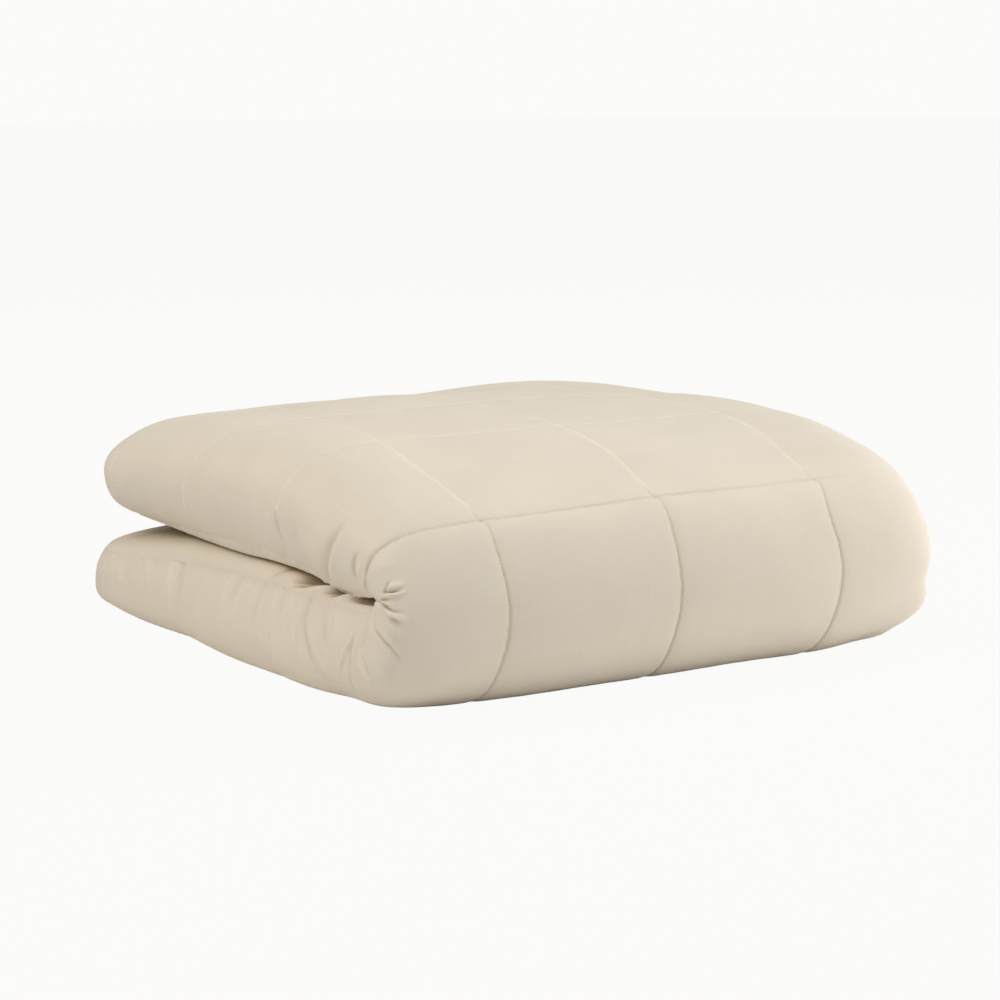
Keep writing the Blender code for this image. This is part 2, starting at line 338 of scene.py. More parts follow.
# Creases, given one by one: half the width in mm, the height in mm at the start, middle and end (a
# trough has a negative height), and the run in (across, along)
outerCreases = (
    # Lower leaf, from the back to the fold
    (3, 0.8, 1.2, 0, (0, -3.47), (0.05, -3.42), (0.12, -3.36)),
    (3, 0.2, 1.4, 0.2, (0.03, -3.34), (0.1, -3.28), (0.22, -3.23)),
    (4, -0.4, -0.9, 0, (0.03, -3.24), (0.1, -3.18), (0.2, -3.13)),
    (3, 0.8, 1, 0, (0, -3.04), (0.07, -2.93), (0.14, -2.9)),
    (3, 1.6, 2.4, 0.6, (0, -2.74), (0.06, -2.68), (0.15, -2.64), (0.27, -2.62)),
    (4, -1.8, -2.2, 0, (0, -2.63), (0.07, -2.58), (0.16, -2.55), (0.26, -2.54)),
    (3, 0.8, 0.8, 0, (0, -2.3), (0.06, -2.3), (0.12, -2.31)),
    (2.8, 1.2, 2, 0, (0, -1.99), (0.04, -2.04), (0.12, -2.06)),
    (3, -1, -1.3, 0, (0, -1.92), (0.06, -1.96), (0.13, -1.98)),
    (2.6, 0.8, 1.6, 0, (0.01, -1.84), (0.06, -1.88), (0.14, -1.91)),
    (2.8, 0.8, 2, 0.4, (0, -1.73), (0.05, -1.76), (0.11, -1.74)),
    (2.8, -0.8, -1.2, 0.8, (0, -1.66), (0.07, -1.69), (0.12, -1.68), (0.19, -1.58)),
    (2.8, 0.8, 1.8, 0, (0, -1.53), (0.05, -1.51), (0.13, -1.49)),
    (3.4, -0.8, -1.4, 0, (0, -1.46), (0.06, -1.44), (0.13, -1.43)),
    (3.4, 1, 1.4, 0, (0, -1.36), (0.05, -1.35), (0.11, -1.36)),
    (2.6, 1.6, 3, 0.3, (0, -1.27), (0.07, -1.25), (0.155, -1.25), (0.22, -1.25)),
    (2.2, -1.2, -1.8, -0.2, (0, -1.2), (0.055, -1.205), (0.11, -1.18), (0.17, -1.136), (0.245, -1.08),
     (0.33, -1)),
    (2.8, 0.6, 1.6, 0.2, (0.06, -1.13), (0.12, -1.1), (0.2, -1.04), (0.28, -0.96)),
    (3.2, -1, -1.6, 0, (0.03, -1.05), (0.1, -1.01), (0.18, -0.95)),
    (3.6, 0.8, 1, 0, (0, -0.95), (0.08, -0.92), (0.16, -0.9)),
    (2.2, 1, 2.4, 0.4, (0.03, -0.66), (0.08, -0.74), (0.15, -0.8), (0.225, -0.85), (0.3, -0.88)),
    (1.2, -0.8, -1.3, -0.9, (0.02, -0.66), (0.07, -0.72), (0.13, -0.752), (0.21, -0.762), (0.36, -0.775)),
    (1.8, 1, 2, 0.3, (0.03, -0.6), (0.08, -0.67), (0.14, -0.705), (0.22, -0.725)),
    (1.4, -0.6, -1.2, -0.2, (0.05, -0.56), (0.11, -0.62), (0.16, -0.645)),
    (2, 0.4, 2.2, 1.2, (0.12, -0.63), (0.18, -0.65), (0.23, -0.612), (0.3, -0.575)),
    (1.3, -0.6, -1.6, -0.6, (0.17, -0.605), (0.23, -0.58), (0.31, -0.545)),
    # Round the end of the fold
    (1.2, -0.5, -2.8, -0.8, (0.05, -0.38), (0.12, -0.335), (0.2, -0.283), (0.3, -0.245), (0.385, -0.262)),
    (1.4, 0.1, 1.3, 1.7, (0.1, -0.385), (0.18, -0.327), (0.28, -0.287), (0.39, -0.295)),
    (3, 1, 1.6, 0.2, (0.03, -0.52), (0.07, -0.42), (0.13, -0.33)),
    (2.4, -0.2, -1, 0, (0.2, -0.16), (0.3, -0.15), (0.38, -0.16)),
    (2.4, 0.4, 2, 0.6, (0.2, -0.1), (0.29, -0.085), (0.37, -0.085)),
    (1.8, -0.4, -2.2, -0.4, (0.22, -0.035), (0.29, -0.028), (0.36, -0.035)),
    (2.2, 1, 3, 1.2, (0.12, 0.028), (0.19, 0.012), (0.28, -0.002), (0.38, 0)),
    (1.9, -1.2, -2.4, -0.8, (0.11, 0.075), (0.18, 0.052), (0.27, 0.036), (0.36, 0.04)),
    (2.4, 1.2, 2.6, 0.4, (0.1, 0.14), (0.19, 0.108), (0.3, 0.095)),
    (2.1, -1.4, -1.8, 0, (0.1, 0.19), (0.156, 0.165), (0.22, 0.15), (0.29, 0.137)),
    (2, 1, 3, 1, (0.2, 0.19), (0.26, 0.177), (0.34, 0.16), (0.39, 0.165)),
    (1.8, -1.4, -2.2, -0.6, (0.225, 0.225), (0.262, 0.206), (0.307, 0.189), (0.34, 0.184), (0.375, 0.19)),
    (2.8, 0.8, 1.7, 0.5, (0.265, 0.232), (0.316, 0.222), (0.36, 0.214), (0.4, 0.213)),
    (1.8, -1.2, -1.9, -0.5, (0.236, 0.222), (0.276, 0.24), (0.318, 0.262)),
    (4, 0.2, 1.1, 0, (0.24, 0.38), (0.31, 0.37), (0.4, 0.32)),
    (2.6, -0.4, -2.4, -3.2, (0.5, 0.49), (0.36, 0.5), (0.22, 0.52), (0.1, 0.555), (0, 0.6)),
    (6, 0.2, 1.6, 1.6, (0.26, 0.42), (0.14, 0.45), (0.03, 0.48)),
    (2.8, 0.6, 2.6, 1.4, (0.19, 0.61), (0.12, 0.64), (0.07, 0.635), (0.02, 0.59)),
    (2.3, -0.6, -3.2, -2.2, (0.24, 0.66), (0.2, 0.695), (0.125, 0.73), (0.085, 0.712), (0.05, 0.66),
     (0.02, 0.6)),
    # Upper leaf
    (3.6, -0.8, -3, -2.4, (0.35, 0.867), (0.28, 0.9), (0.21, 0.947), (0.15, 1), (0.02, 1.1)),
    (5, 0.4, 2.2, 1.4, (0.31, 0.83), (0.2, 0.89), (0.11, 0.955), (0.02, 1.02)),
    (8, 0.2, 1.4, 0.8, (0.3, 0.99), (0.18, 1.08), (0.06, 1.17)),
    (5, -0.4, -1.4, 0, (0.2, 1.27), (0.14, 1.31), (0.07, 1.37)),
    (3.2, -1.2, -2.8, -0.8, (0.18, 1.52), (0.12, 1.515), (0.03, 1.48)),
    (5, 0.4, 1.2, 0.4, (0.17, 1.6), (0.11, 1.6), (0.03, 1.58)),
    (3, 0.4, 1.2, 0.4, (0.24, 1.49), (0.21, 1.52), (0.2, 1.54)),
    (3.4, 0.4, 1.4, 0.2, (0.2, 2.54), (0.15, 2.55), (0.11, 2.56)),
    (5, -0.3, -1, 0, (0.24, 2.6), (0.16, 2.62), (0.08, 2.64)),
    (5, 0.2, 1, 0.2, (0.1, 3.6), (0.18, 3.35), (0.26, 3.15)),
)
innerCreases = (
    (3, -0.4, -1.6, -0.8, (0.05, -1.62), (0.14, -1.58), (0.26, -1.52)),
    (2.6, 0, -4.6, -3, (0.03, -1.42), (0.1, -1.31), (0.17, -1.255), (0.25, -1.19)),
    (6.5, 0, -3.8, -3, (0.09, -1.42), (0.15, -1.36), (0.22, -1.28), (0.3, -1.18)),
    (4, 0.2, 2.8, 3, (0.05, -1.25), (0.11, -1.19), (0.18, -1.11), (0.26, -1.02)),
    (2.6, 0, -4.2, -3, (0.06, -1.09), (0.11, -1.035), (0.18, -0.95), (0.27, -0.87)),
    (5, 0, -3.2, -3, (0.08, -1.14), (0.14, -1.09), (0.21, -1.02), (0.3, -0.94)),
    (4, 0.2, 3, 3, (0.05, -1), (0.1, -0.95), (0.17, -0.88), (0.24, -0.8)),
    (5, -1, -2.6, -3, (0.11, -0.86), (0.13, -0.76), (0.16, -0.62)),
)
# Painted shade where the gap is deepest, darkening the cloth there: set out as the creases are
paintedGapShade = (
    (7, -0.8, -3.6, -4.4, (0.32, -2.8), (0.28, -2.25), (0.245, -1.85), (0.24, -1.55), (0.23, -1.3),
     (0.2, -1.08), (0.17, -0.9), (0.15, -0.7)),
    (6, -1, -2, -2.4, (0.13, -0.92), (0.17, -0.8), (0.2, -0.7), (0.22, -0.6)),
)


# How far creases lift the cloth, in mm. As painted shade and highlight, a broad crease counts for less than
# a sharp one
def creaseLift(across, along, creases, asPaintedLight=False):
    pieces = 24  # straight pieces in the curve of a crease
    lift = np.zeros_like(across)
    for halfWidth, atStart, atMiddle, atEnd, *run in creases:
        places = [(i / (len(run) - 1), *point) for i, point in enumerate(run)]
        shares = np.linspace(0, 1, pieces + 1)
        middles = np.stack(readTable(places, shares), axis=-1)
        reach = 3 * halfWidth / 1000 / box
        low, high = middles.min(axis=0) - reach, middles.max(axis=0) + reach
        near = (across > low[0]) & (across < high[0]) & (along > low[1]) & (along < high[1])
        here = np.stack((across[near], along[near]), axis=-1)
        closest = np.full(len(here), np.inf)
        closestShare = np.zeros(len(here))
        for start, end, share in zip(middles[:-1], middles[1:], shares):
            way = end - start
            onWay = np.clip((here - start) @ way / (way @ way), 0, 1)
            distance = np.linalg.norm(here - start - onWay[:, None] * way, axis=-1)
            better = distance < closest
            closest[better] = distance[better]
            closestShare[better] = (share + onWay / pieces)[better]
        height = readTable(((0, atStart), (0.5, atMiddle), (1, atEnd)), closestShare)[0]
        if asPaintedLight:
            height = height * min(1, clothLook["creaseSharp"] / halfWidth)
        lift[near] += height * bell(closest * box * 1000, halfWidth)
    return lift


def stitchDistances(across, along):
    fromSide, fromEnd = fromEdges(across, along)
    # The sewn edges are no line of stitching: only the lines inside them draw the cover in
    lineAcross = np.maximum(np.abs(across - np.round(across)), 1 - fromSide)
    lineAlong = np.maximum(np.abs(fromEnd - np.round(fromEnd)), 1 - fromEnd)
    return fromSide, fromEnd, lineAcross * box * 1000, lineAlong * box * 1000


# The quilting stops short of the sewn edges, and dies out on the full right shoulder
def stitchingShown(across, along):
    ends = ease(*quilting["fade"], np.minimum(across, halfLength - np.abs(along)))
    return ends * ease(*quilting["fadeRight"], boxesAcross - across)


def linesPress(across, along):
    shown = stitchingShown(across, along)
    atBack = ease(*quilting["backFadeAlong"], along) * ease(*quilting["backFadeAcross"], across)
    fading = 1 - quilting["backFade"] * atBack
    return (readTable(alongLinesPress, along)[0] * shown,
            readTable(acrossLinesPress, along)[0] * shown * fading)


# How far the outer cover stands off the lines of stitching, in mm
def quiltLift(across, along):
    fromSide, fromEnd, lineAcross, lineAlong = stitchDistances(across, along)
    crown = (np.sin(np.pi * across) * np.cos(np.pi * along)) ** 2
    calm = ease(0, quilting["calmEdge"], np.minimum(fromSide, fromEnd))
    lift = (quilting["shoulder"] + quilting["crown"] * crown ** quilting["crownPower"]) * calm
    press = linesPress(across, along)
    for number, (distance, run) in enumerate(((lineAcross, along), (lineAlong, across))):
        groove = quilting["stitchDepth"] * bell(distance, quilting["stitchWidth"])
        groove = groove + quilting["shoulder"] * bell(distance, quilting["shoulderReach"])
        offset = np.round(across if number == 0 else along) * quilting["lineOffset"]
        ripple = waves(run * box + offset, quilting["puckerLength"] / 1000, quilting["seed"] + number)
        ripple = quilting["pucker"] * ripple * bell(distance, quilting["puckerReach"])
        lift = lift + (ripple - groove) * press[number]
    return lift


# The puckers of the sewn edge, which both covers share
def edgeLift(across, along, inner):
    fromSide, fromEnd = (edge * box * 1000 for edge in fromEdges(across, along))
    nearest = np.minimum(fromSide, fromEnd)
    alongSide, alongEnd = (
        waves(run * box, sewnEdge["puckerLength"] / 1000, sewnEdge["seed"] + number)
        for number, run in enumerate((along, across)))
    atEnd = ease(-sewnEdge["cornerReach"], sewnEdge["cornerReach"], fromSide - fromEnd)
    ripple = alongSide + (alongEnd - alongSide) * atEnd
    away = nearest / sewnEdge["puckerReach"]
    size = sewnEdge["innerPucker" if inner else "outerPucker"]
    tuck = sewnEdge["tuck"] * bell(nearest, sewnEdge["tuckWidth"])
    shown = readTable(sewnEdge["shown"], along)[0]
    pucker = size * ripple * away * np.exp(1 - away ** sewnEdge["puckerPower"])
    return shown * (pucker - tuck * (1 + sewnEdge["tuckRipple"] * ripple))


def gatherLift(across, along):
    fromSeam = across * box * 1000
    height = readTable(gathers["height"], along)[0]
    wave = waves(along * box, gathers["spacing"] / 1000, gathers["seed"])
    ridges = bell(wave, gathers["thinness"]) - gathers["trough"]
    uneven = waves(along * box, gathers["unevenLength"] / 1000, gathers["seed"] + 1)
    reach = gathers["reach"] * (1 + gathers["unevenReach"] * uneven)
    return height * ridges * ease(0, gathers["fromSeam"], fromSeam) * bell(fromSeam, reach)


def surfaceNormals(points):
    normals = np.cross(np.gradient(points, axis=0), np.gradient(points, axis=1))
    return normals / np.maximum(np.linalg.norm(normals, axis=-1, keepdims=True), 1e-12)


clothMesh = {
    "firstStep": 0.7,  # mm beside a line of stitching, growing to the step in the middle of the box
    "growth": 1.35,
    "acrossSteps": (1.5, 3.4, 6.4, 6.4, 6.4, 6.4, 6.4, 6.4),  # mm for each half box, from the left
    "alongSteps": (3.6, 3.4, 2.8, 2.8, 2.8, 2.4, 1.6, 1.4, 1.4, 1.6, 1.6, 2.5, 3.2, 3.6, 3.8, 4, 4, 4),
    "fineTo": 1.1,  # boxes across: right of this the cloth has no fine creases
    "coarseStep": 6,  # along, there
    "hiddenKept": 0.06,  # share of the triangles kept inside the gap and underneath
    "undersideFront": (-0.85, -1.05),  # along: the part that nobody sees starts and ends
    "undersideBack": (-4.15, -4.05),
    "edgeBand": (0.45, 0.65),  # boxes from the sewn edge where the outer cover loses its detail
    "innerBand": (0.23, 0.33),
}
clothLook = {
    "colour": (0.74, 0.665, 0.552, 1),
    # painted shade colour, warm and dark, for crease troughs and stitched lines
    "shadeColour": (0.6, 0.47, 0.325, 1),
    "Roughness": 0.93,
    "Sheen Weight": 0.03,
    "Specular IOR Level": 0,
    "threadPitch": 0.46,  # mm, and so are the two heights
    "weaveHeight": 0.05,
    "streakHeight": 0.05,
    "reliefStrength": 0.6,
    "driftSize": 0.06,
    "creaseFull": 3.2,  # mm: the crease or ridge that shows in full as painted shade and highlight
    "creaseSharp": 1.7,  # mm: the half width past which a crease is painted fainter
    "creasePower": 1.4,
    "deepest": 1.75,  # times a full crease: the deepest painted shade, inside the gap
    # how much the painted shade is warmed, in creases and along the stitched lines
    "creaseWarmth": 0.8,
    "lineShadeWarmth": 0.25,
    # Shares of brightness: painted shade and highlight in creases and lines, then streaks, drift and weave
    "creaseShade": 0.2,
    "ridgeShine": 0.1,
    "lineShine": 0.12,
    "streakTone": 0.1,
    "driftTone": 0.1,
    "threadTone": 0.06,
}
# Painted shade and highlight along the sewing: widths in mm, places in boxes along
stitchPaintedLight = {
    "width": 1.1,  # painted shade, warm, in a pressed line
    # painted shade along the seam
    "seamWidth": 2,
    "seamShare": 0.4,
    "paleWidth": 1.4,  # painted highlight: the lines along the cloth are paler than it on top
    "paleFrom": (0.53, 0.63),
    "paleFades": (1.5, 2.1),
    "paleLost": 0.85,
    "paleAcrossWidth": 1.3,  # and so are some of the lines across it
    "paleAcrossFrom": (1.1, 1.3),
    "paleAcrossFades": (2.7, 3.2),
    "paleAcrossShare": 0.8,
}


# Places from one end of the cloth to the other, close together beside each line of stitching
def clothSteps(steps):
    places = [0.0]
    for half, widest in enumerate(steps):
        offsets, step = [0.0], clothMesh["firstStep"]
        while offsets[-1] < box * 500:
            offsets.append(offsets[-1] + step)
            step = min(step * clothMesh["growth"], widest)
        offsets = np.array(offsets) / offsets[-1] / 2
        if half % 2:
            offsets = (0.5 - offsets)[::-1]
        places += (half / 2 + offsets[1:]).tolist()
    return np.array(places)


def outerCover(across, along):
    laid = slipped(across, along)
    points = foldCloth(*laid, inner=False)
    normals = surfaceNormals(points)
    lift = quiltLift(across, along) + edgeLift(across, along, inner=False)
    lift = lift + creaseLift(*laid, outerCreases) + gatherLift(*laid)
    lift = lift + mounds(swells, *laid)
    edge = np.minimum(*fromEdges(across, along))
    uneven = clouds(across, along, quilting["unevenSize"], quilting["unevenSeed"])
    lift = lift + quilting["unevenness"] * uneven * ease(0, quilting["calmEdge"], edge)
    points = points + normals * lift[..., None] / 1000
    points[..., 2] = np.maximum(points[..., 2], 0)
    return points


def innerCover(across, along):
    laid = slipped(across, along)
    points = foldCloth(*laid, inner=True)
    normals = -surfaceNormals(points)
    fromSide, fromEnd, lineAcross, lineAlong = stitchDistances(across, along)
    lift = -quilting["innerDepth"] * bell(np.minimum(lineAcross, lineAlong), quilting["shoulderReach"])
    lift = lift * ease(*quilting["innerCalmEdge"], np.minimum(fromSide, fromEnd))
    lift = lift + edgeLift(across, along, inner=True)
    lift = lift + creaseLift(*laid, innerCreases)
    return points + normals * lift[..., None] / 1000


def addObject(name, data):
    made = bpy.data.objects.new(name, data)
    bpy.context.scene.collection.objects.link(made)
    return made


# What the modifiers make of a piece becomes its plain mesh
def keepResult(piece):
    finished = bpy.data.meshes.new_from_object(piece.evaluated_get(bpy.context.evaluated_depsgraph_get()))
    piece.modifiers.clear()
    piece.data = finished


def countTriangles(piece):
    return sum(len(face.vertices) - 2 for face in piece.data.polygons)


def makeCover():
    acrossSteps = clothSteps(clothMesh["acrossSteps"])
    alongSteps = clothSteps(clothMesh["alongSteps"])
    coarse = clothSteps([clothMesh["coarseStep"]] * len(clothMesh["alongSteps"]))
    coarse = np.unique(np.abs(alongSteps[None] - coarse[:, None]).argmin(axis=1))
    turn = int(np.abs(acrossSteps - clothMesh["fineTo"]).argmin())
    across, along = np.meshgrid(acrossSteps, alongSteps - halfLength, indexing="ij")
    outer, inner = outerCover(across, along), innerCover(across, along)
    rim = np.zeros(across.shape, bool)
    rim[0, :] = rim[-1, :] = rim[:, 0] = rim[:, -1] = True
    outer[rim] = (outer[rim] + inner[rim]) / 2

    # The inner cover shares the outer one's points along the seam, and right of the turn both
    # keep only the coarse rows
    used = np.zeros(across.shape, bool)
    used[: turn + 1] = True
    used[:, coarse] = True
    outerNumber = np.cumsum(used).reshape(across.shape) - 1
    own = used & ~rim
    innerNumber = outerNumber.copy()
    innerNumber[own] = np.count_nonzero(used) + np.arange(np.count_nonzero(own))
    points = np.concatenate((outer[used], inner[own]))

    def makeFaces(number, turned):
        fine, wide = number[: turn + 1], number[turn + 1:, coarse]
        found = []
        for part in (fine, wide):
            corners = [part[:-1, :-1], part[1:, :-1], part[1:, 1:], part[:-1, 1:]]
            found += np.stack(corners, axis=-1).reshape(-1, 4).tolist()
        for start, end in zip(coarse[:-1], coarse[1:]):
            between = number[turn, start:end + 1][::-1].tolist()
            found.append(between[-1:] + number[turn + 1, [start, end]].tolist() + between[:-1])
        return [face[::-1] for face in found] if turned else found

    outerFaces, innerFaces = makeFaces(outerNumber, False), makeFaces(innerNumber, True)
    data = bpy.data.meshes.new("quiltedCover")
    data.from_pydata(points.tolist(), [], outerFaces + innerFaces)

    # The unfolded cloth, ten boxes to the unit, with the inner cover beside the outer one
    flat = np.stack((across / 10, (along + halfLength) / 10), axis=-1)
    flatOfOuter, flatOfInner = np.zeros((2, len(points), 2))
    flatOfOuter[outerNumber[used]] = flat[used]
    flatOfInner[innerNumber[used]] = flat[used] + (0.5, 0)
    corner = np.zeros(len(data.loops), int)
    data.loops.foreach_get("vertex_index", corner)
    isOuter = np.arange(len(corner)) < sum(map(len, outerFaces))
    uv = np.where(isOuter[:, None], flatOfOuter[corner], flatOfInner[corner])
    layer = data.uv_layers.new(name="flatCloth")
    layer.data.foreach_set("uv", uv.reshape(-1))

    # Along the seam the outer cover's values count
    def forPoints(ofInner, ofOuter):
        values = np.zeros(len(points))
        values[innerNumber[used]] = ofInner[used]
        values[outerNumber[used]] = ofOuter[used]
        return values

    def addTone(name, values):
        data.attributes.new(name, "FLOAT", "POINT").data.foreach_set("value", values)

    # How close each point is to a line of stitching or the seam, for the material's painted shade. It
    # is negative where the line has a painted highlight, paler than the cloth
    fromSide, fromEnd, lineAcross, lineAlong = stitchDistances(across, along)
    edge = np.minimum(fromSide, fromEnd)
    press = linesPress(across, along)
    stitched = np.maximum(bell(lineAcross, stitchPaintedLight["width"]) * press[0],
                          bell(lineAlong, stitchPaintedLight["width"]) * press[1])
    seam = bell(edge * box * 1000, stitchPaintedLight["seamWidth"])
    stitched = np.maximum(stitched, stitchPaintedLight["seamShare"] * seam)
    pale = bell(lineAcross, stitchPaintedLight["paleWidth"]) * ease(*stitchPaintedLight["paleFrom"], along)
    pale = pale * (1 - stitchPaintedLight["paleLost"] * ease(*stitchPaintedLight["paleFades"], along))
    crossing = bell(lineAlong, stitchPaintedLight["paleAcrossWidth"]) * ease(*stitchPaintedLight["paleAcrossFrom"], along)
    crossing = crossing * (1 - ease(*stitchPaintedLight["paleAcrossFades"], along))
    pale = np.maximum(pale, stitchPaintedLight["paleAcrossShare"] * crossing) * stitchingShown(across, along)
    stitched = stitched * (1 - pale) - pale
    addTone("paintedLineLight", forPoints(stitched, stitched))

    # Painted shade and highlight: the cloth is darkened in a crease and lightened over a ridge
    laid = slipped(across, along)
    # Inside the gap the creases and the deepest places are painted in shade
    inGap = creaseLift(*laid, innerCreases) + creaseLift(*laid, paintedGapShade)
    onOutside = creaseLift(*laid, outerCreases, True)
    addTone("paintedCreaseLight", forPoints(np.clip(inGap / clothLook["creaseFull"], -clothLook["deepest"], 1),
                                 np.clip(onOutside / clothLook["creaseFull"], -1, 1)))

    cover = addObject("quiltedCover", data)
    under = ease(*clothMesh["edgeBand"], edge)
    under = under * ease(*clothMesh["undersideFront"], along) * ease(*clothMesh["undersideBack"], along)
    thinOut(cover, forPoints(ease(*clothMesh["innerBand"], edge), under))
    cover.data.shade_smooth()
    return cover


# Fewer triangles where no one looks: inside the gap and on the underside
def thinOut(cover, weights):
    group = cover.vertex_groups.new(name="hidden")
    for number in np.flatnonzero(weights > 0.02):
        group.add([int(number)], float(weights[number]), "REPLACE")
    hidden = np.count_nonzero(weights > 0.5) / len(weights)
    thinner = cover.modifiers.new("thinOut", "DECIMATE")
    thinner.ratio = 1 - hidden * (1 - clothMesh["hiddenKept"])
    thinner.vertex_group = "hidden"
    thinner.vertex_group_factor = 10
    keepResult(cover)
    cover.vertex_groups.clear()


cover = makeCover()
print("cover made:", countTriangles(cover), "triangles")

# The thread of the quilting: lengths in mm
threadForm = {
    "pitch": 2.7,  # from one stitch to the next
    "length": 2.45,
    "thickness": 0.52,
    "smallest": (0.85, 0.85, 0.85),  # times that size
    "largest": (1.12, 1.1, 1.1),
    "sunk": 0.09,
    "sunkWherePlain": 0.2,  # more, where the lines hardly press into the cloth
    "plainPress": (0.1, 0.4),
    "lineStep": 2.5,  # between the points of the line that the stitches follow
    "beside": 0.004,  # boxes either side of it, to find which way the cloth faces
    "rightStop": 0.06,  # boxes past the place where the quilting has died out on the right
    "seed": 5,
}


def socket(tree, name, kind, value=None, output=False):
    made = tree.interface.new_socket(name=name, in_out="OUTPUT" if output else "INPUT",
                                     socket_type="NodeSocket" + kind)
    if value is not None:
        made.default_value = value


def link(tree, source, target):
    tree.links.new(source, target)


# Gives the output to link from, which is the first unless another is named
def addNode(tree, kind, inputs=None, output=0, **settings):
    node = tree.nodes.new(kind)
    for name, value in settings.items():
        setattr(node, name, value)
    for key, value in (inputs or {}).items():
        if isinstance(value, bpy.types.NodeSocket):
            tree.links.new(value, node.inputs[key])
        else:
            node.inputs[key].default_value = value
    return node.outputs[output]


def stitchTree():
    tree = bpy.data.node_groups.new("quiltingStitches", "GeometryNodeTree")
    socket(tree, "Geometry", "Geometry")
    for size in ("Stitch Pitch", "Stitch Length", "Thread Thickness"):
        socket(tree, size, "Float", 0.001)
    socket(tree, "Seed", "Int", 0)
    socket(tree, "Material", "Material")
    socket(tree, "Geometry", "Geometry", output=True)
    given = tree.nodes.new("NodeGroupInput").outputs
    result = tree.nodes.new("NodeGroupOutput")

    lines = addNode(tree, "GeometryNodeMeshToCurve", {0: given["Geometry"]})
    even = addNode(tree, "GeometryNodeResampleCurve",
                   {"Curve": lines, "Length": given["Stitch Pitch"]}, mode="LENGTH")
    tangent = addNode(tree, "GeometryNodeInputTangent")
    outward = addNode(tree, "GeometryNodeInputNamedAttribute", {"Name": "outward"},
                      data_type="FLOAT_VECTOR")
    alongLine = addNode(tree, "FunctionNodeAlignRotationToVector", {"Vector": tangent}, axis="X")
    facing = addNode(tree, "FunctionNodeAlignRotationToVector",
                     {"Rotation": alongLine, "Vector": outward}, axis="Z", pivot_axis="X")

    bead = addNode(tree, "GeometryNodeMeshUVSphere", {"Segments": 6, "Rings": 4, "Radius": 0.5})
    thick = given["Thread Thickness"]
    size = addNode(tree, "ShaderNodeCombineXYZ", {"X": given["Stitch Length"], "Y": thick, "Z": thick})
    shaped = addNode(tree, "GeometryNodeTransform", {"Geometry": bead, "Scale": size})
    uneven = addNode(tree, "FunctionNodeRandomValue",
                     {0: threadForm["smallest"], 1: threadForm["largest"], "Seed": given["Seed"]},
                     data_type="FLOAT_VECTOR")
    placed = addNode(tree, "GeometryNodeInstanceOnPoints",
                     {"Points": even, "Instance": shaped, "Rotation": facing, "Scale": uneven})
    real = addNode(tree, "GeometryNodeRealizeInstances", {"Geometry": placed})
    smooth = addNode(tree, "GeometryNodeSetShadeSmooth", {0: real})
    painted = addNode(tree, "GeometryNodeSetMaterial",
                      {"Geometry": smooth, "Material": given["Material"]})
    link(tree, painted, result.inputs[0])
    return tree


def makeThread(material):
    points, edges, outward = [], [], []
    start = sum(quilting["fade"]) / 2
    runs = [(True, line) for line in range(1, boxesAcross)]
    runs += [(False, line - halfLength) for line in range(1, blanketForm["boxesAlong"])]
    for isAlong, line in runs:
        length = blanketForm["boxesAlong"] if isAlong else boxesAcross
        stop = length - (start if isAlong else quilting["fadeRight"][1] - threadForm["rightStop"])
        run = np.linspace(start, stop, round((stop - start) * box * 1000 / threadForm["lineStep"]))
        beside = line + np.array((-1, 0, 1)) * threadForm["beside"]
        ways = (beside, run - halfLength) if isAlong else (run, beside)
        across, along = np.meshgrid(*ways, indexing="ij")
        middle = 1 if isAlong else (slice(None), 1)
        laid = outerCover(across, along)
        normals = surfaceNormals(laid)[middle]
        press = linesPress(across, along)[0 if isAlong else 1][middle]
        first = len(points)
        plain = 1 - ease(*threadForm["plainPress"], press)
        sunk = threadForm["sunk"] + threadForm["sunkWherePlain"] * plain
        lift = (threadForm["thickness"] / 2 - sunk[:, None]) / 1000
        points += (laid[middle] + normals * lift).tolist()
        outward += normals.tolist()
        edges += [(first + i, first + i + 1) for i in range(len(run) - 1)]
    data = bpy.data.meshes.new("quiltingThread")
    data.from_pydata(points, edges, [])
    facing = data.attributes.new("outward", "FLOAT_VECTOR", "POINT")
    facing.data.foreach_set("vector", np.array(outward).reshape(-1))
    thread = addObject("quiltingThread", data)
    stitches = thread.modifiers.new("stitches", "NODES")
    tree = stitchTree()
    stitches.node_group = tree
    values = {
        "Stitch Pitch": threadForm["pitch"] / 1000,
        "Stitch Length": threadForm["length"] / 1000,
        "Thread Thickness": threadForm["thickness"] / 1000,
        "Seed": threadForm["seed"],
        "Material": material,
    }
    for item in tree.interface.items_tree:
        if item.item_type == "SOCKET" and item.in_out == "INPUT" and item.name in values:
            stitches[item.identifier] = values[item.name]
    keepResult(thread)
    return thread


# A group that makes one value from the place on the cloth and some settings
def shaderGroup(name, settings, made):
    tree = bpy.data.node_groups.new(name, "ShaderNodeTree")
    socket(tree, "Place", "Vector")
    for label, value in settings.items():
        socket(tree, label, "Float", value)
    socket(tree, made, "Float", output=True)
    return tree, tree.nodes.new("NodeGroupInput").outputs, tree.nodes.new("NodeGroupOutput").inputs[0]


def maths(tree, operation, *values):
    return addNode(tree, "ShaderNodeMath", dict(enumerate(values)), operation=operation)


